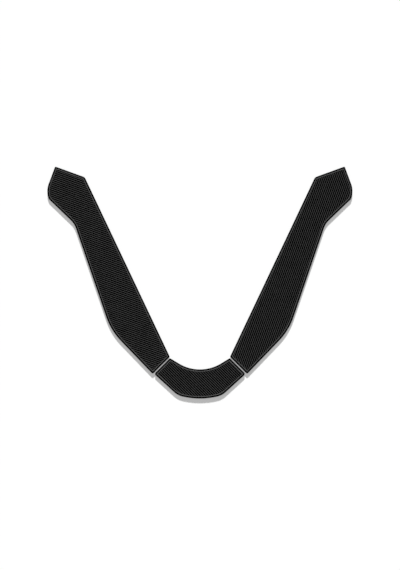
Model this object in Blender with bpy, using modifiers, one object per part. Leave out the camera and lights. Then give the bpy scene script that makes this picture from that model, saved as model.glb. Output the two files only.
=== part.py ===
"""Front fairing pad set for a scooter: two side pads and a centre pad, laid out in a V.

Each pad is one rubber moulding with a flat back, a smooth rim with a softened edge, a
raised keyline that follows the outline, and raised diagonal ribs that run into the
keyline. Metres, +X to the right, +Y up the V and +Z out of the ribbed face. The origin
is under the middle of the set's bounding box, in the plane of the flat backs.
"""
import math

import bmesh
import bpy
from mathutils import Matrix, Vector

MM = 0.001
SET_NAME = "scooter_fairing_pad"

# Section, the same on every pad
BASE_THICKNESS = 2.2 * MM
RIM_WIDTH = 2.15 * MM  # from the pad's edge to the keyline
RIM_ROUND = 0.3 * MM
RIM_ROUND_STEPS = 2
KEYLINE_WIDTH = 0.8 * MM
KEYLINE_HEIGHT = 0.4 * MM  # above the base
RIB_DROP = 0.1 * MM  # how far the ribs stay below the keyline
RIB_PITCH = 2.5 * MM
RIB_FOOT = 1.15 * MM  # width of a rib on the base
RIB_CREST = 0.7 * MM
RIB_ANGLE = math.radians(-45.0)  # in the pad's own frame, from its +X
ROOT_DEPTH = 0.4 * MM  # how far keyline and ribs reach into the base that they are joined to

# Centre pad: half outline, from the point where its low edges would meet on the centre line
END_SLOPE = math.radians(45.0)  # the end edges, from the horizontal
CENTRE_TIP_X = 60.0 * MM
CENTRE_TIP_Y = 34.5 * MM
CENTRE_END_WIDTH = 29.4 * MM
CENTRE_TOP_Y = 31.3 * MM  # where the two halves of the hollow top edge would meet
CENTRE_BELLY_X = 28.9 * MM
CENTRE_BELLY_Y = 6.2 * MM
CENTRE_HOLLOW_RADIUS = 53.3 * MM
CENTRE_BELLY_RADIUS = 25.0 * MM
CENTRE_BOTTOM_RADIUS = 100.0 * MM
CENTRE_TIP_RADIUS = 2.7 * MM
CENTRE_HORN_RADIUS = 1.0 * MM

# Side pad, upright: +Y up the straight inner edge, +X out from it, from the inner foot corner
LEAN = math.radians(25.34)  # inner edge from the upright, once the pad is in the V
INNER_EDGE = 261.1 * MM
FOOT_WIDTH = 31.8 * MM
PEAK_X = 29.1 * MM
PEAK_Y = 290.5 * MM
SHOULDER_X = 53.4 * MM
SHOULDER_Y = 266.8 * MM
NOTCH_X = 54.9 * MM
NOTCH_Y = 255.2 * MM
WAIST_X = 38.4 * MM
WAIST_Y = 211.8 * MM
HIP_X = 55.1 * MM
HIP_Y = 64.4 * MM
CROWN_RADIUS = 5.5 * MM
PEAK_RADIUS = 1.4 * MM
SHOULDER_RADIUS = 27.0 * MM
NOTCH_RADIUS = 5.5 * MM
WAIST_RADIUS = 28.0 * MM
HIP_RADIUS = 84.0 * MM
FOOT_RADIUS = 1.9 * MM

# Side pads against the centre pad
PAD_GAP = 1.45 * MM
FOOT_OVERHANG = 1.0 * MM  # how far the foot's inner corner passes the centre pad's

# Rounding
INNER_TIP_RADIUS = 0.3 * MM  # least radius of the keyline's corners
ARC_STEP = math.radians(5.0)
ARC_LEAST_STEPS = 3
ARC_SHARE = 0.98  # most of an edge that the arcs at its two ends may take up

# Making a closed mesh of a filled curve
WELD_DISTANCE = 0.001 * MM
FLAT_ANGLE = math.radians(0.1)  # faces that turn less than this are one flat face

# Where a rib's middle lies, across the ribs from the origin of the pad's own frame
RIB_SHIFT = {"left_pad": 0.11 * MM, "centre_pad": 0.85 * MM, "right_pad": 1.5 * MM}

RUBBER_BLACK = (0.004, 0.004, 0.004, 1.0)
RIB_GREY = (0.08, 0.08, 0.08, 1.0)
RUBBER_ROUGHNESS = 0.6


def clear_scene():
    """Start from an empty file."""
    for obj in list(bpy.data.objects):
        bpy.data.objects.remove(obj)


def rubber(name, colour):
    """A matt rubber material of one colour."""
    material = bpy.data.materials.new(name)
    material.use_nodes = True
    shader = material.node_tree.nodes["Principled BSDF"]
    shader.inputs["Base Color"].default_value = colour
    shader.inputs["Roughness"].default_value = RUBBER_ROUGHNESS
    shader.inputs["Metallic"].default_value = 0.0
    material.diffuse_color = colour
    return material


def centre_corners():
    """Corners of the centre pad, anticlockwise, each as (point, radius)."""
    tip = Vector((CENTRE_TIP_X, CENTRE_TIP_Y))
    horn = tip + CENTRE_END_WIDTH * Vector((-math.cos(END_SLOPE), math.sin(END_SLOPE)))
    right = [
        (Vector((CENTRE_BELLY_X, CENTRE_BELLY_Y)), CENTRE_BELLY_RADIUS),
        (tip, CENTRE_TIP_RADIUS),
        (horn, CENTRE_HORN_RADIUS),
    ]
    left = [(Vector((-point.x, point.y)), radius) for point, radius in reversed(right)]
    bottom = (Vector((0.0, 0.0)), CENTRE_BOTTOM_RADIUS)
    top = (Vector((0.0, CENTRE_TOP_Y)), CENTRE_HOLLOW_RADIUS)
    return [bottom] + right + [top] + left


def side_corners(side):
    """Corners of an upright side pad, anticlockwise: side is 1 for the right pad, -1 for the left."""
    foot_slope = LEAN - END_SLOPE
    corners = [
        (Vector((0.0, 0.0)), FOOT_RADIUS),
        (FOOT_WIDTH * Vector((math.cos(foot_slope), math.sin(foot_slope))), FOOT_RADIUS),
        (Vector((HIP_X, HIP_Y)), HIP_RADIUS),
        (Vector((WAIST_X, WAIST_Y)), WAIST_RADIUS),
        (Vector((NOTCH_X, NOTCH_Y)), NOTCH_RADIUS),
        (Vector((SHOULDER_X, SHOULDER_Y)), SHOULDER_RADIUS),
        (Vector((PEAK_X, PEAK_Y)), PEAK_RADIUS),
        (Vector((0.0, INNER_EDGE)), CROWN_RADIUS),
    ]
    if side > 0:
        return corners
    return [(Vector((-point.x, point.y)), radius) for point, radius in reversed(corners)]


def inset(corners, distance):
    """The same outline moved inwards by a distance, with its radii adjusted to stay parallel."""
    moved = []
    for i, (point, radius) in enumerate(corners):
        into = (point - corners[i - 1][0]).normalized()
        out = (corners[(i + 1) % len(corners)][0] - point).normalized()
        turn = into.cross(out)
        inward = Vector((-into.y - out.y, into.x + out.x)).normalized()
        corner = point + inward * (distance / inward.dot(Vector((-into.y, into.x))))
        if turn > 0:
            moved.append((corner, max(radius - distance, INNER_TIP_RADIUS)))
        else:
            moved.append((corner, radius + distance))
    return moved


def rounded(corners):
    """Outline points of a polygon whose corners are rounded by arcs, kept within the edges."""
    count = len(corners)
    turns = []
    tangents = []
    for i, (point, radius) in enumerate(corners):
        into = point - corners[i - 1][0]
        out = corners[(i + 1) % count][0] - point
        turns.append(math.atan2(into.cross(out), into.dot(out)))
        tangents.append(radius * math.tan(abs(turns[i]) / 2))
    edges = [(corners[(i + 1) % count][0] - corners[i][0]).length for i in range(count)]
    wanted = [tangents[i] + tangents[(i + 1) % count] for i in range(count)]
    share = [min(1.0, ARC_SHARE * edges[i] / wanted[i]) for i in range(count)]
    points = []
    for i, (point, radius) in enumerate(corners):
        kept = min(share[i - 1], share[i])
        tangent = tangents[i] * kept
        into = (point - corners[i - 1][0]).normalized()
        start = point - into * tangent
        centre = start + Vector((-into.y, into.x)) * math.copysign(radius * kept, turns[i])
        steps = max(ARC_LEAST_STEPS, math.ceil(abs(turns[i]) / ARC_STEP))
        for step in range(steps + 1):
            spin = Matrix.Rotation(turns[i] * step / steps, 2)
            points.append(centre + spin @ (start - centre))
    return points


def flat_curve(name, outlines, low, high):
    """A filled 2D curve through closed outlines, one inside the other, from height low to high."""
    curve = bpy.data.curves.new(name, "CURVE")
    curve.dimensions = "2D"
    curve.fill_mode = "BOTH"
    curve.extrude = (high - low) / 2
    for outline in outlines:
        spline = curve.splines.new("POLY")
        spline.points.add(len(outline) - 1)
        for target, point in zip(spline.points, outline):
            target.co = (point.x, point.y, 0.0, 1.0)
        spline.use_cyclic_u = True
    obj = bpy.data.objects.new(name, curve)
    obj.location.z = (low + high) / 2
    return obj


def solid_of(curve_obj, collection, material):
    """The curve made a closed mesh, with flat caps of few faces, in the curve's place."""
    bpy.context.scene.collection.objects.link(curve_obj)
    bpy.context.view_layer.update()
    graph = bpy.context.evaluated_depsgraph_get()
    mesh = bpy.data.meshes.new_from_object(curve_obj.evaluated_get(graph))
    shape = bmesh.new()
    shape.from_mesh(mesh)
    bmesh.ops.remove_doubles(shape, verts=shape.verts, dist=WELD_DISTANCE)
    bmesh.ops.recalc_face_normals(shape, faces=shape.faces)
    caps = [edge for edge in shape.edges if edge.calc_face_angle(1.0) < FLAT_ANGLE]
    bmesh.ops.dissolve_edges(shape, edges=caps, use_verts=False)
    shape.to_mesh(mesh)
    shape.free()
    mesh.materials.clear()
    mesh.materials.append(material)
    name = curve_obj.name
    matrix = curve_obj.matrix_world.copy()
    bpy.data.objects.remove(curve_obj)
    solid = bpy.data.objects.new(name, mesh)
    solid.matrix_world = matrix
    collection.objects.link(solid)
    return solid


def helper(obj):
    """Keep a cutter or a joined shape out of the render, drawn as wire."""
    obj.hide_render = True
    obj.display_type = "WIRE"
    return obj


def join(target, other, operation):
    """Boolean modifier on target, which keeps the other shape's material on its faces."""
    modifier = target.modifiers.new(operation.lower() + "_" + other.name, "BOOLEAN")
    modifier.operation = operation
    modifier.object = other
    modifier.solver = "EXACT"
    modifier.material_mode = "TRANSFER"


def base_plate(name, corners, collection, material):
    """The pad's flat plate with its top edge softened."""
    plate = solid_of(flat_curve(name, [rounded(corners)], 0.0, BASE_THICKNESS), collection, material)
    shape = bmesh.new()
    shape.from_mesh(plate.data)
    weight = shape.edges.layers.float.new("bevel_weight_edge")
    for edge in shape.edges:
        if all(vert.co.z > 0 for vert in edge.verts):
            edge[weight] = 1.0
    shape.to_mesh(plate.data)
    shape.free()
    soften = plate.modifiers.new("soften_rim", "BEVEL")
    soften.limit_method = "WEIGHT"
    soften.width = RIM_ROUND
    soften.segments = RIM_ROUND_STEPS
    return plate


def keyline(name, corners, collection, material):
    """The raised line that follows the outline."""
    outlines = [rounded(inset(corners, RIM_WIDTH)), rounded(inset(corners, RIM_WIDTH + KEYLINE_WIDTH))]
    low = BASE_THICKNESS - ROOT_DEPTH
    high = BASE_THICKNESS + KEYLINE_HEIGHT
    return helper(solid_of(flat_curve(name, outlines, low, high), collection, material))


def rib_field(name, corners, shift, collection, material):
    """A comb of parallel ribs that covers the pad, cut off along the middle of the keyline."""
    along = Vector((math.cos(RIB_ANGLE), math.sin(RIB_ANGLE), 0.0))
    across = Vector((-along.y, along.x, 0.0))
    field = rounded(inset(corners, RIM_WIDTH + KEYLINE_WIDTH / 2))
    crossings = [point.to_3d().dot(across) for point in field]
    reach = [point.to_3d().dot(along) for point in field]
    first = math.floor((min(crossings) - shift) / RIB_PITCH)
    last = math.ceil((max(crossings) - shift) / RIB_PITCH)

    height = KEYLINE_HEIGHT - RIB_DROP
    valley = -ROOT_DEPTH / 2
    valley_half = RIB_FOOT / 2 - valley * (RIB_FOOT - RIB_CREST) / 2 / height
    comb = [Vector((shift + (last + 0.5) * RIB_PITCH, -1.5 * ROOT_DEPTH))]
    comb.append(Vector((shift + (last + 0.5) * RIB_PITCH, valley)))
    for number in range(last, first - 1, -1):
        middle = shift + number * RIB_PITCH
        comb.append(Vector((middle + valley_half, valley)))
        comb.append(Vector((middle + RIB_CREST / 2, height)))
        comb.append(Vector((middle - RIB_CREST / 2, height)))
        comb.append(Vector((middle - valley_half, valley)))
    comb.append(Vector((shift + (first - 0.5) * RIB_PITCH, valley)))
    comb.append(Vector((shift + (first - 0.5) * RIB_PITCH, -1.5 * ROOT_DEPTH)))

    curve = flat_curve(name, [comb], min(reach) - RIB_PITCH, max(reach) + RIB_PITCH)
    middle = along * curve.location.z + Vector((0.0, 0.0, BASE_THICKNESS))
    axes = Matrix((across, Vector((0.0, 0.0, 1.0)), along)).transposed()
    curve.matrix_world = Matrix.Translation(middle) @ axes.to_4x4()
    ribs = helper(solid_of(curve, collection, material))

    low = BASE_THICKNESS - 2 * ROOT_DEPTH
    high = BASE_THICKNESS + 2 * KEYLINE_HEIGHT
    edge = helper(solid_of(flat_curve(name + "_edge", [field], low, high), collection, material))
    join(ribs, edge, "INTERSECT")
    return ribs, edge


def make_pad(name, corners, place, parts, cutters):
    """One pad in its own frame, with its shapes parented to an empty that stands in the V."""
    black = rubber(name + "_black", RUBBER_BLACK)
    grey = rubber(name + "_grey", RIB_GREY)
    plate = base_plate(name, corners, parts, black)
    line = keyline(name + "_keyline", corners, cutters, grey)
    ribs, edge = rib_field(name + "_ribs", corners, RIB_SHIFT[name], cutters, grey)
    join(plate, line, "UNION")
    join(plate, ribs, "UNION")
    frame = bpy.data.objects.new(name + "_frame", None)
    frame.matrix_world = place
    parts.objects.link(frame)
    for obj in (plate, line, ribs, edge):
        obj.parent = frame
    return plate


def side_place(side):
    """Where a side pad's own frame stands: its foot edge faces the centre pad's end across the gap."""
    tip = Vector((CENTRE_TIP_X, CENTRE_TIP_Y))
    up_the_end = Vector((-math.cos(END_SLOPE), math.sin(END_SLOPE)))
    off_the_end = Vector((math.sin(END_SLOPE), math.cos(END_SLOPE)))
    foot = tip + up_the_end * (CENTRE_END_WIDTH + FOOT_OVERHANG) + off_the_end * PAD_GAP
    return Matrix.Translation((side * foot.x, foot.y, 0.0)) @ Matrix.Rotation(-side * LEAN, 4, "Z")


def make_set():
    """The three pads in their places, centred on the origin."""
    clear_scene()
    parts = bpy.data.collections.new(SET_NAME)
    cutters = bpy.data.collections.new(SET_NAME + "_cutters")
    bpy.context.scene.collection.children.link(parts)
    bpy.context.scene.collection.children.link(cutters)

    layout = {
        "left_pad": (side_corners(-1), side_place(-1)),
        "centre_pad": (centre_corners(), Matrix.Identity(4)),
        "right_pad": (side_corners(1), side_place(1)),
    }
    points = [place @ point.to_3d() for corners, place in layout.values() for point in rounded(corners)]
    middle = (max(point.y for point in points) + min(point.y for point in points)) / 2
    to_centre = Matrix.Translation((0.0, -middle, 0.0))
    for name, (corners, place) in layout.items():
        make_pad(name, corners, to_centre @ place, parts, cutters)


make_set()
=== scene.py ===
"""Looks of the scooter fairing pads: finished rubber mouldings on a white studio floor.

Every pad is drawn again as one finely rounded moulding in the place of its solid: a flat
back, a rim with a softened edge, a raised keyline and raised diagonal ribs, whose crests carry a painted
highlight and whose flanks and grooves carry painted shade.
"""

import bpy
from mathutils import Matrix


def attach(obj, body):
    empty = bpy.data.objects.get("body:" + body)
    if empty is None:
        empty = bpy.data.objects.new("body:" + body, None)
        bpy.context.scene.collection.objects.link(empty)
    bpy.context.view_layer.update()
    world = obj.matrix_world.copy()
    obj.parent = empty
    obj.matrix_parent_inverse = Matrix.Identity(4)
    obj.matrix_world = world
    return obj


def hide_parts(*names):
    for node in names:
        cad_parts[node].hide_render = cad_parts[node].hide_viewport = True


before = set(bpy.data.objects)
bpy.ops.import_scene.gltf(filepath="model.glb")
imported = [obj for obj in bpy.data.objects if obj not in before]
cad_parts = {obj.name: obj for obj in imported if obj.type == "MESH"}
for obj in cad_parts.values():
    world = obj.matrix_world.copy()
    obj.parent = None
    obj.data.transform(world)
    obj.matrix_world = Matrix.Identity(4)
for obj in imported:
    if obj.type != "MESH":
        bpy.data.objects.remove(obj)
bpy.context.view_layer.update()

import math

import bmesh
import bpy
from mathutils import Matrix, Vector

MM = 0.001
BODY = "root"

# Section, the same on every pad
BASE_THICKNESS = 2.2 * MM
RIM_WIDTH = 2.15 * MM
RIM_ROUND = 0.3 * MM
KEYLINE_WIDTH = 0.8 * MM
KEYLINE_CREST = 0.65 * MM
KEYLINE_HEIGHT = 0.4 * MM
RIB_DROP = 0.1 * MM
RIB_HEIGHT = KEYLINE_HEIGHT - RIB_DROP
RIB_PITCH = 2.5 * MM
RIB_FOOT = 1.15 * MM
RIB_CREST = 0.7 * MM
RIB_ANGLE = math.radians(-45.0)
RIDGE_ROUND = 0.1 * MM  # rounding of the crests of ribs and keyline
ROOT_DEPTH = 0.4 * MM
RIM_STEPS = 5
RIDGE_STEPS = 3

# Centre pad, from the point where its low edges would meet on the centre line
END_SLOPE = math.radians(45.0)
CENTRE_TIP = Vector((60.0, 34.5)) * MM
CENTRE_END_WIDTH = 29.4 * MM
CENTRE_TOP_Y = 31.3 * MM
CENTRE_BELLY = Vector((28.9, 6.2)) * MM
CENTRE_HOLLOW_RADIUS = 53.3 * MM
CENTRE_BELLY_RADIUS = 25.0 * MM
CENTRE_BOTTOM_RADIUS = 100.0 * MM
CENTRE_TIP_RADIUS = 2.7 * MM
CENTRE_HORN_RADIUS = 1.0 * MM

# Side pad, upright, from the inner foot corner
LEAN = math.radians(25.34)
FOOT_WIDTH = 31.8 * MM
INNER_TOP = Vector((0.0, 261.1)) * MM
PEAK = Vector((29.1, 290.5)) * MM
SHOULDER = Vector((53.4, 266.8)) * MM
NOTCH = Vector((54.9, 255.2)) * MM
WAIST = Vector((38.4, 211.8)) * MM
HIP = Vector((55.1, 64.4)) * MM
CROWN_RADIUS = 5.5 * MM
PEAK_RADIUS = 1.4 * MM
SHOULDER_RADIUS = 27.0 * MM
NOTCH_RADIUS = 5.5 * MM
WAIST_RADIUS = 28.0 * MM
HIP_RADIUS = 84.0 * MM
FOOT_RADIUS = 1.9 * MM

# Side pads against the centre pad
PAD_GAP = 1.45 * MM
FOOT_OVERHANG = 1.0 * MM

# Rounding
INNER_TIP_RADIUS = 0.3 * MM  # least radius of the keyline's corners
ARC_STEP = math.radians(2.5)
ARC_LEAST_STEPS = 4
ARC_SHARE = 0.98  # most of an edge that the arcs at its two ends may take up
SMOOTH_ANGLE = math.radians(35.0)

# Where a rib's middle lies, across the ribs from the origin of the pad's own frame
RIB_SHIFT = {"left_pad": 0.11 * MM, "centre_pad": 0.85 * MM, "right_pad": 1.5 * MM}

# Places of the four finishes in a pad's list of materials
GROOVE, RIB, KEYLINE, SIDE = range(4)

# Tone, gloss and unevenness of tone of each finish. The lighter grey of the rib crests is a painted
# highlight; the near-black on the rib flanks and in the grooves is painted shade on top of the rubber's own
# black, which the rim also wears.
# painted shade: the rubber's black made darker still, so that rib flanks and grooves look shaded; the rim
# wears it too
BLACK_AND_GROOVE_SHADE = 0.0006
# painted highlight: a lighter grey copy of the same rubber, standing for light caught by the rib crests
RIB_HIGHLIGHT_GREY = 0.052
KEYLINE_GREY = 0.09
SIDE_BLACK = 0.006
GROOVE_SPECULAR = 0.003
CREST_SPECULAR = 0.015
SIDE_SPECULAR = 0.15
GROOVE_SPREAD = 0.15
CREST_SPREAD = 0.05
SIDE_SPREAD = 0.1

# Grain: coarser and deeper on the moulded faces than on the crests
FACE_GRAIN = 0.25 * MM
FACE_GRAIN_DEPTH = 0.02 * MM
CREST_GRAIN = 0.2 * MM
CREST_GRAIN_DEPTH = 0.012 * MM
GRAIN_DETAIL = 3.0
GRAIN_HARSHNESS = 0.6
BUMP_STRENGTH = 0.4

# Faint clouds in the tone, and the rubber's roughness
CLOUDS_PER_METRE = 60.0
CLOUD_DETAIL = 4.0
CLOUD_LOW = 0.3
CLOUD_HIGH = 0.7
RUBBER_ROUGHNESS = 0.65
ROUGHNESS_SPREAD = 0.08

# Studio
PIXEL = 1.3134 * MM  # size of a picture element on the ribbed faces
PICTURE = (400, 570)
PICTURE_SET_CENTRE = (199.9, 282.66)  # where the middle of the set lies in the picture
CAMERA_HEIGHT = 3.0
CAMERA_NEAR = 0.1
CAMERA_FAR = 2 * CAMERA_HEIGHT
SENSOR = 36.0
SUN_HEIGHT = math.radians(18.2)
SUN_SIZE = math.radians(4.0)
SKY_SHARE = 0.235  # share of the light on a level face that comes from the sky
FLOOR_WHITE = 0.7
FLOOR_SEEN_WHITE = 1.01  # what the camera sees of the lit floor, just past clipping
FLOOR_SIZE = 6.0
FLOOR_DROP = 0.02 * MM


def centre_corners():
    """Corners of the centre pad, anticlockwise, each as (point, radius)."""
    horn = CENTRE_TIP + CENTRE_END_WIDTH * Vector((-math.cos(END_SLOPE), math.sin(END_SLOPE)))
    right = [
        (CENTRE_BELLY, CENTRE_BELLY_RADIUS),
        (CENTRE_TIP, CENTRE_TIP_RADIUS),
        (horn, CENTRE_HORN_RADIUS),
    ]
    left = [(Vector((-point.x, point.y)), radius) for point, radius in reversed(right)]
    bottom = (Vector((0.0, 0.0)), CENTRE_BOTTOM_RADIUS)
    top = (Vector((0.0, CENTRE_TOP_Y)), CENTRE_HOLLOW_RADIUS)
    return [bottom] + right + [top] + left


def side_corners(side):
    """Corners of an upright side pad, anticlockwise: side is 1 for the right pad, -1 for the left."""
    foot_slope = LEAN - END_SLOPE
    corners = [
        (Vector((0.0, 0.0)), FOOT_RADIUS),
        (FOOT_WIDTH * Vector((math.cos(foot_slope), math.sin(foot_slope))), FOOT_RADIUS),
        (HIP, HIP_RADIUS),
        (WAIST, WAIST_RADIUS),
        (NOTCH, NOTCH_RADIUS),
        (SHOULDER, SHOULDER_RADIUS),
        (PEAK, PEAK_RADIUS),
        (INNER_TOP, CROWN_RADIUS),
    ]
    if side > 0:
        return corners
    return [(Vector((-point.x, point.y)), radius) for point, radius in reversed(corners)]


def side_place(side):
    """Where a side pad's own frame stands, before the set is centred."""
    up_the_end = Vector((-math.cos(END_SLOPE), math.sin(END_SLOPE)))
    off_the_end = Vector((math.sin(END_SLOPE), math.cos(END_SLOPE)))
    foot = CENTRE_TIP + up_the_end * (CENTRE_END_WIDTH + FOOT_OVERHANG) + off_the_end * PAD_GAP
    return Matrix.Translation((side * foot.x, foot.y, 0.0)) @ Matrix.Rotation(-side * LEAN, 4, "Z")


def inset(corners, distance):
    """The same outline moved inwards by a distance, with its radii adjusted to stay parallel."""
    moved = []
    for i, (point, radius) in enumerate(corners):
        into = (point - corners[i - 1][0]).normalized()
        out = (corners[(i + 1) % len(corners)][0] - point).normalized()
        inward = Vector((-into.y - out.y, into.x + out.x)).normalized()
        corner = point + inward * (distance / inward.dot(Vector((-into.y, into.x))))
        if into.cross(out) > 0:
            moved.append((corner, max(radius - distance, INNER_TIP_RADIUS)))
        else:
            moved.append((corner, radius + distance))
    return moved


def rounded(corners):
    """Outline points of a polygon whose corners are rounded by arcs, kept within the edges."""
    count = len(corners)
    turns = []
    tangents = []
    for i, (point, radius) in enumerate(corners):
        into = point - corners[i - 1][0]
        out = corners[(i + 1) % count][0] - point
        turns.append(math.atan2(into.cross(out), into.dot(out)))
        tangents.append(radius * math.tan(abs(turns[i]) / 2))
    edges = [(corners[(i + 1) % count][0] - corners[i][0]).length for i in range(count)]
    wanted = [tangents[i] + tangents[(i + 1) % count] for i in range(count)]
    share = [min(1.0, ARC_SHARE * edges[i] / wanted[i]) for i in range(count)]
    points = []
    for i, (point, radius) in enumerate(corners):
        kept = min(share[i - 1], share[i])
        into = (point - corners[i - 1][0]).normalized()
        start = point - into * (tangents[i] * kept)
        centre = start + Vector((-into.y, into.x)) * math.copysign(radius * kept, turns[i])
        steps = max(ARC_LEAST_STEPS, math.ceil(abs(turns[i]) / ARC_STEP))
        for step in range(steps + 1):
            spin = Matrix.Rotation(turns[i] * step / steps, 2)
            points.append(centre + spin @ (start - centre))
    return points


def quarter(centre, radius, start, end, steps):
    """Points of an arc about a centre, between two directions in degrees."""
    angles = [math.radians(start + (end - start) * step / steps) for step in range(steps + 1)]
    return [Vector((centre[0] + radius * math.cos(a), centre[1] + radius * math.sin(a))) for a in angles]


def ridge(foot, crest, height, depth):
    """Section of a ridge with a rounded crest, from left to right, starting and ending at a depth."""
    slope = (foot - crest) / 2 / height
    half_foot = foot / 2 + depth * slope
    left = [Vector((-half_foot, -depth))]
    left += quarter((-crest / 2 + RIDGE_ROUND, height - RIDGE_ROUND), RIDGE_ROUND, 180, 90, RIDGE_STEPS)
    right = [Vector((-point.x, point.y)) for point in reversed(left)]
    return left + right


def mesh_object(name, shape):
    """An object from a bmesh, with its faces turned outwards."""
    bmesh.ops.recalc_face_normals(shape, faces=shape.faces)
    mesh = bpy.data.meshes.new(name)
    shape.to_mesh(mesh)
    shape.free()
    obj = bpy.data.objects.new(name, mesh)
    bpy.context.scene.collection.objects.link(obj)
    return obj


def swept_plate(name, corners):
    """The plate with rim and keyline: the section follows the outline, ring by ring."""
    section = [(Vector((0.0, 0.0)), SIDE)]
    rim = quarter((RIM_ROUND, BASE_THICKNESS - RIM_ROUND), RIM_ROUND, 180, 90, RIM_STEPS)
    section += [(point, GROOVE) for point in rim]
    middle = RIM_WIDTH + KEYLINE_WIDTH / 2
    for point in ridge(KEYLINE_WIDTH, KEYLINE_CREST, KEYLINE_HEIGHT, 0.0):
        section.append((Vector((middle + point.x, BASE_THICKNESS + point.y)), KEYLINE))
    shape = bmesh.new()
    rings = []
    for point, _ in section:
        outline = rounded(inset(corners, point.x))
        rings.append([shape.verts.new((p.x, p.y, point.y)) for p in outline])
    for i in range(len(rings) - 1):
        for j in range(len(rings[i])):
            k = (j + 1) % len(rings[i])
            face = shape.faces.new((rings[i][j], rings[i][k], rings[i + 1][k], rings[i + 1][j]))
            face.material_index = section[i][1]
    shape.faces.new(rings[0]).material_index = SIDE
    shape.faces.new(rings[-1])
    return mesh_object(name, shape)


def prism(name, outline, low, high):
    """A straight-sided solid over an outline."""
    shape = bmesh.new()
    bottom = [shape.verts.new((p.x, p.y, low)) for p in outline]
    top = [shape.verts.new((p.x, p.y, high)) for p in outline]
    shape.faces.new(bottom)
    shape.faces.new(top)
    for j in range(len(outline)):
        k = (j + 1) % len(outline)
        shape.faces.new((bottom[j], bottom[k], top[k], top[j]))
    return mesh_object(name, shape)


def rib_comb(name, field, shift):
    """A slab with parallel ribs on it, long and wide enough to cover the field; its crests get the grey of a
    painted highlight, its flanks and grooves the black of painted shade.
    """
    along = Vector((math.cos(RIB_ANGLE), math.sin(RIB_ANGLE), 0.0))
    across = Vector((-along.y, along.x, 0.0))
    up = Vector((0.0, 0.0, 1.0))
    crossings = [point.to_3d().dot(across) for point in field]
    reach = [point.to_3d().dot(along) for point in field]
    first = math.floor((min(crossings) - shift) / RIB_PITCH)
    last = math.ceil((max(crossings) - shift) / RIB_PITCH)
    section = ridge(RIB_FOOT, RIB_CREST, RIB_HEIGHT, ROOT_DEPTH / 2)
    line = [Vector((shift + (first - 0.5) * RIB_PITCH, -1.5 * ROOT_DEPTH))]
    line.append(Vector((line[0].x, -ROOT_DEPTH / 2)))
    for number in range(first, last + 1):
        line += [Vector((shift + number * RIB_PITCH + point.x, point.y)) for point in section]
    line.append(Vector((shift + (last + 0.5) * RIB_PITCH, -ROOT_DEPTH / 2)))
    line.append(Vector((line[-1].x, -1.5 * ROOT_DEPTH)))
    shape = bmesh.new()
    ends = []
    for run in (min(reach) - RIB_PITCH, max(reach) + RIB_PITCH):
        ends.append([shape.verts.new(across * p.x + along * run + up * (BASE_THICKNESS + p.y)) for p in line])
    shape.faces.new(ends[0])
    shape.faces.new(ends[1])
    for j in range(len(line)):
        k = (j + 1) % len(line)
        face = shape.faces.new((ends[0][j], ends[0][k], ends[1][k], ends[1][j]))
        # painted highlight on the crest faces, painted shade on the flanks and between the ribs
        gets_painted_highlight = min(line[j].y, line[k].y) > RIB_HEIGHT - 2 * RIDGE_ROUND
        face.material_index = RIB if gets_painted_highlight else GROOVE
    return mesh_object(name, shape)


def boolean(target, other, operation):
    """Join or cut two meshes for good; the second one is used up."""
    modifier = target.modifiers.new(operation, "BOOLEAN")
    modifier.operation = operation
    modifier.object = other
    modifier.solver = "EXACT"
    bpy.context.view_layer.update()
    graph = bpy.context.evaluated_depsgraph_get()
    mesh = bpy.data.meshes.new_from_object(target.evaluated_get(graph))
    target.modifiers.clear()
    target.data = mesh
    bpy.data.objects.remove(other)


def finished_pad(node, corners, place, materials):
    """One pad as a single moulding, in the place of its solid."""
    pad = swept_plate(node + "_moulding", corners)
    field = rounded(inset(corners, RIM_WIDTH + KEYLINE_WIDTH / 2))
    ribs = rib_comb(node + "_ribs", field, RIB_SHIFT[node])
    low = BASE_THICKNESS - 2 * ROOT_DEPTH
    high = BASE_THICKNESS + 2 * KEYLINE_HEIGHT
    edge = prism(node + "_edge", field, low, high)
    for obj in (pad, ribs, edge):
        for material in materials:
            obj.data.materials.append(material)
    boolean(ribs, edge, "INTERSECT")
    boolean(pad, ribs, "UNION")
    pad.data.transform(place)
    pad.data.shade_smooth()
    pad.data.set_sharp_from_angle(angle=SMOOTH_ANGLE)
    weighted = pad.modifiers.new("weighted_normals", "WEIGHTED_NORMAL")
    weighted.keep_sharp = True
    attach(pad, BODY)
    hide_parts(node)


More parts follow.
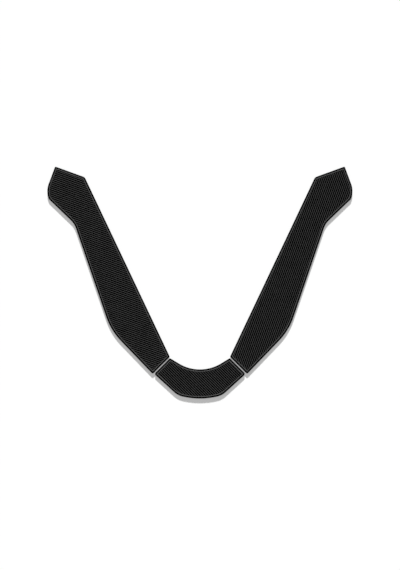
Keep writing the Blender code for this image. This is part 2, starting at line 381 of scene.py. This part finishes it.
def rubber(name, value, specular, spread, grain_size, grain_depth):
    """Matt moulded rubber: a dark tone with faint clouds, a fine grain and an uneven gloss."""
    material = bpy.data.materials.new(name)
    material.use_nodes = True
    nodes = material.node_tree.nodes
    links = material.node_tree.links
    shader = nodes["Principled BSDF"]
    shader.inputs["Metallic"].default_value = 0.0
    shader.inputs["Specular IOR Level"].default_value = specular
    place = nodes.new("ShaderNodeTexCoord")

    clouds = nodes.new("ShaderNodeTexNoise")
    clouds.inputs["Scale"].default_value = CLOUDS_PER_METRE
    clouds.inputs["Detail"].default_value = CLOUD_DETAIL
    links.new(place.outputs["Object"], clouds.inputs["Vector"])
    tone = nodes.new("ShaderNodeMapRange")
    tone.inputs["From Min"].default_value = CLOUD_LOW
    tone.inputs["From Max"].default_value = CLOUD_HIGH
    tone.inputs["To Min"].default_value = value * (1.0 - spread)
    tone.inputs["To Max"].default_value = value * (1.0 + spread)
    links.new(clouds.outputs["Fac"], tone.inputs["Value"])
    links.new(tone.outputs["Result"], shader.inputs["Base Color"])

    grain = nodes.new("ShaderNodeTexNoise")
    grain.inputs["Scale"].default_value = 1.0 / grain_size
    grain.inputs["Detail"].default_value = GRAIN_DETAIL
    grain.inputs["Roughness"].default_value = GRAIN_HARSHNESS
    links.new(place.outputs["Object"], grain.inputs["Vector"])
    gloss = nodes.new("ShaderNodeMapRange")
    gloss.inputs["To Min"].default_value = RUBBER_ROUGHNESS - ROUGHNESS_SPREAD
    gloss.inputs["To Max"].default_value = RUBBER_ROUGHNESS + ROUGHNESS_SPREAD
    links.new(grain.outputs["Fac"], gloss.inputs["Value"])
    links.new(gloss.outputs["Result"], shader.inputs["Roughness"])
    bump = nodes.new("ShaderNodeBump")
    bump.inputs["Strength"].default_value = BUMP_STRENGTH
    bump.inputs["Distance"].default_value = grain_depth
    links.new(grain.outputs["Fac"], bump.inputs["Height"])
    links.new(bump.outputs["Normal"], shader.inputs["Normal"])
    return material


def finishes():
    """The pads' four finishes, in the order of GROOVE, RIB, KEYLINE and SIDE; the rib finish is a painted
    highlight, and the groove finish is the rubber's black with painted shade.
    """
    face = (FACE_GRAIN, FACE_GRAIN_DEPTH)
    crest = (CREST_GRAIN, CREST_GRAIN_DEPTH)
    return [
        rubber("rubber_black_and_painted_shade", BLACK_AND_GROOVE_SHADE, GROOVE_SPECULAR, GROOVE_SPREAD, *face),
        rubber("rubber_rib_painted_highlight", RIB_HIGHLIGHT_GREY, CREST_SPECULAR, CREST_SPREAD, *crest),
        rubber("rubber_keyline_grey", KEYLINE_GREY, CREST_SPECULAR, CREST_SPREAD, *crest),
        rubber("rubber_side_black", SIDE_BLACK, SIDE_SPECULAR, SIDE_SPREAD, *face),
    ]


def make_pads():
    """The three pads in their places, centred on the origin as the solids are."""
    materials = finishes()
    layout = {
        "left_pad": (side_corners(-1), side_place(-1)),
        "centre_pad": (centre_corners(), Matrix.Identity(4)),
        "right_pad": (side_corners(1), side_place(1)),
    }
    points = [place @ point.to_3d() for corners, place in layout.values() for point in rounded(corners)]
    middle = (max(point.y for point in points) + min(point.y for point in points)) / 2
    to_centre = Matrix.Translation((0.0, -middle, 0.0))
    for node, (corners, place) in layout.items():
        finished_pad(node, corners, to_centre @ place, materials)


def seen_or_mirrored(nodes, links):
    """1 for rays from the camera, a reflection or a refraction, and 0 for those that light."""
    path = nodes.new("ShaderNodeLightPath")
    first = nodes.new("ShaderNodeMath")
    first.operation = "MAXIMUM"
    links.new(path.outputs["Is Camera Ray"], first.inputs[0])
    links.new(path.outputs["Is Glossy Ray"], first.inputs[1])
    second = nodes.new("ShaderNodeMath")
    second.operation = "MAXIMUM"
    links.new(first.outputs[0], second.inputs[0])
    links.new(path.outputs["Is Transmission Ray"], second.inputs[1])
    return second.outputs[0]


def make_world():
    """A plain sky: white where it is seen, and dimmer where it lights."""
    world = bpy.data.worlds.new("studio")
    world.use_nodes = True
    bpy.context.scene.world = world
    nodes = world.node_tree.nodes
    links = world.node_tree.links
    strength = nodes.new("ShaderNodeMapRange")
    strength.inputs["To Min"].default_value = SKY_SHARE
    strength.inputs["To Max"].default_value = 1.0
    links.new(seen_or_mirrored(nodes, links), strength.inputs["Value"])
    background = nodes["Background"]
    background.inputs["Color"].default_value = (1.0, 1.0, 1.0, 1.0)
    links.new(strength.outputs["Result"], background.inputs["Strength"])


def make_sun():
    """One low lamp behind the top of the V, which throws the pads' shadow down the picture."""
    lamp = bpy.data.lights.new("sun", "SUN")
    lamp.energy = math.pi * (1.0 - SKY_SHARE) / math.sin(SUN_HEIGHT)
    lamp.angle = SUN_SIZE
    obj = bpy.data.objects.new("sun", lamp)
    obj.rotation_euler = (SUN_HEIGHT - math.pi / 2, 0.0, 0.0)
    bpy.context.scene.collection.objects.link(obj)


def make_floor():
    """A white floor just under the pads, which clips to white where the lamp reaches it."""
    shape = bmesh.new()
    bmesh.ops.create_grid(shape, x_segments=1, y_segments=1, size=FLOOR_SIZE / 2)
    floor = mesh_object("floor", shape)
    floor.location.z = -FLOOR_DROP
    material = bpy.data.materials.new("floor_white")
    material.use_nodes = True
    nodes = material.node_tree.nodes
    links = material.node_tree.links
    shader = nodes["Principled BSDF"]
    shader.inputs["Base Color"].default_value = (FLOOR_WHITE, FLOOR_WHITE, FLOOR_WHITE, 1.0)
    shader.inputs["Roughness"].default_value = 1.0
    shader.inputs["Specular IOR Level"].default_value = 0.0
    shader.inputs["Emission Color"].default_value = (1.0, 1.0, 1.0, 1.0)
    lift = nodes.new("ShaderNodeMapRange")
    lift.inputs["To Max"].default_value = FLOOR_SEEN_WHITE - FLOOR_WHITE
    links.new(seen_or_mirrored(nodes, links), lift.inputs["Value"])
    links.new(lift.outputs["Result"], shader.inputs["Emission Strength"])
    floor.data.materials.append(material)


def make_camera():
    """Straight above the pads, with the picture's top towards the top of the V."""
    camera = bpy.data.cameras.new("camera")
    camera.sensor_width = SENSOR
    camera.lens = SENSOR * CAMERA_HEIGHT / (max(PICTURE) * PIXEL)
    camera.clip_start = CAMERA_NEAR
    camera.clip_end = CAMERA_FAR
    obj = bpy.data.objects.new("camera", camera)
    right = (PICTURE[0] / 2 - PICTURE_SET_CENTRE[0]) * PIXEL
    down = (PICTURE[1] / 2 - PICTURE_SET_CENTRE[1]) * PIXEL
    obj.location = (right, -down, BASE_THICKNESS + CAMERA_HEIGHT)
    bpy.context.scene.collection.objects.link(obj)
    bpy.context.scene.camera = obj


bpy.context.scene.view_settings.view_transform = "Standard"
make_camera()
make_world()
make_sun()
make_floor()
make_pads()
